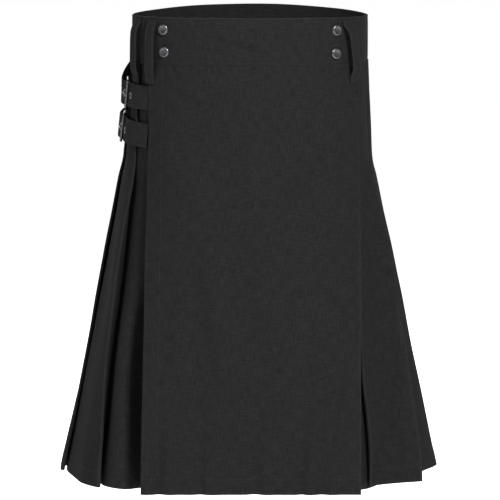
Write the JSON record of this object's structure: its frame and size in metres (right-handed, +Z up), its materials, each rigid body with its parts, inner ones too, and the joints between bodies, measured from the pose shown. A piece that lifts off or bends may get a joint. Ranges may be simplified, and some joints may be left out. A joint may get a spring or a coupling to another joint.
{
  "type": "pleated kilt",
  "caption": "Knee-length wrap kilt with a flat front apron, knife pleats round the back, a waistband with snaps and belt loops, and buckled hip straps.",
  "frame": {"origin": "middle of the waist, halfway down the waistband", "axes": "+X towards the viewer's right (the wearer's left), +Y towards the wearer's back, +Z up; the front apron faces -Y"},
  "size_m": [0.5038, 0.3808, 0.62],
  "materials": {
    "cloth": "black twill, matt with a faint sheen",
    "strap_cloth": "black twill, doubled and stitched",
    "metal": "dark gunmetal, satin"
  },
  "bodies": {
    "root": {"apron_over": "cloth", "apron_under": "cloth", "pleats_right": "cloth", "pleats_back": "cloth", "pleats_left": "cloth", "waistband": "cloth", "belt_loop_front_left": "cloth", "belt_loop_side_left": "cloth", "belt_loop_front_right": "cloth", "belt_loop_back_right": "cloth", "belt_loop_back": "cloth", "belt_loop_back_left": "cloth", "snap_left_upper": "metal", "snap_left_lower": "metal", "snap_right_upper": "metal", "snap_right_lower": "metal", "strap_upper": "strap_cloth", "buckle_tab_upper": "strap_cloth", "buckle_frame_upper": "metal", "buckle_prong_upper": "metal", "eyelet_upper_1": "metal", "eyelet_upper_2": "metal", "eyelet_upper_3": "metal", "eyelet_upper_4": "metal", "strap_lower": "strap_cloth", "buckle_tab_lower": "strap_cloth", "buckle_frame_lower": "metal", "buckle_prong_lower": "metal", "eyelet_lower_1": "metal", "eyelet_lower_2": "metal", "eyelet_lower_3": "metal", "eyelet_lower_4": "metal"}
  },
  "joints": []
}
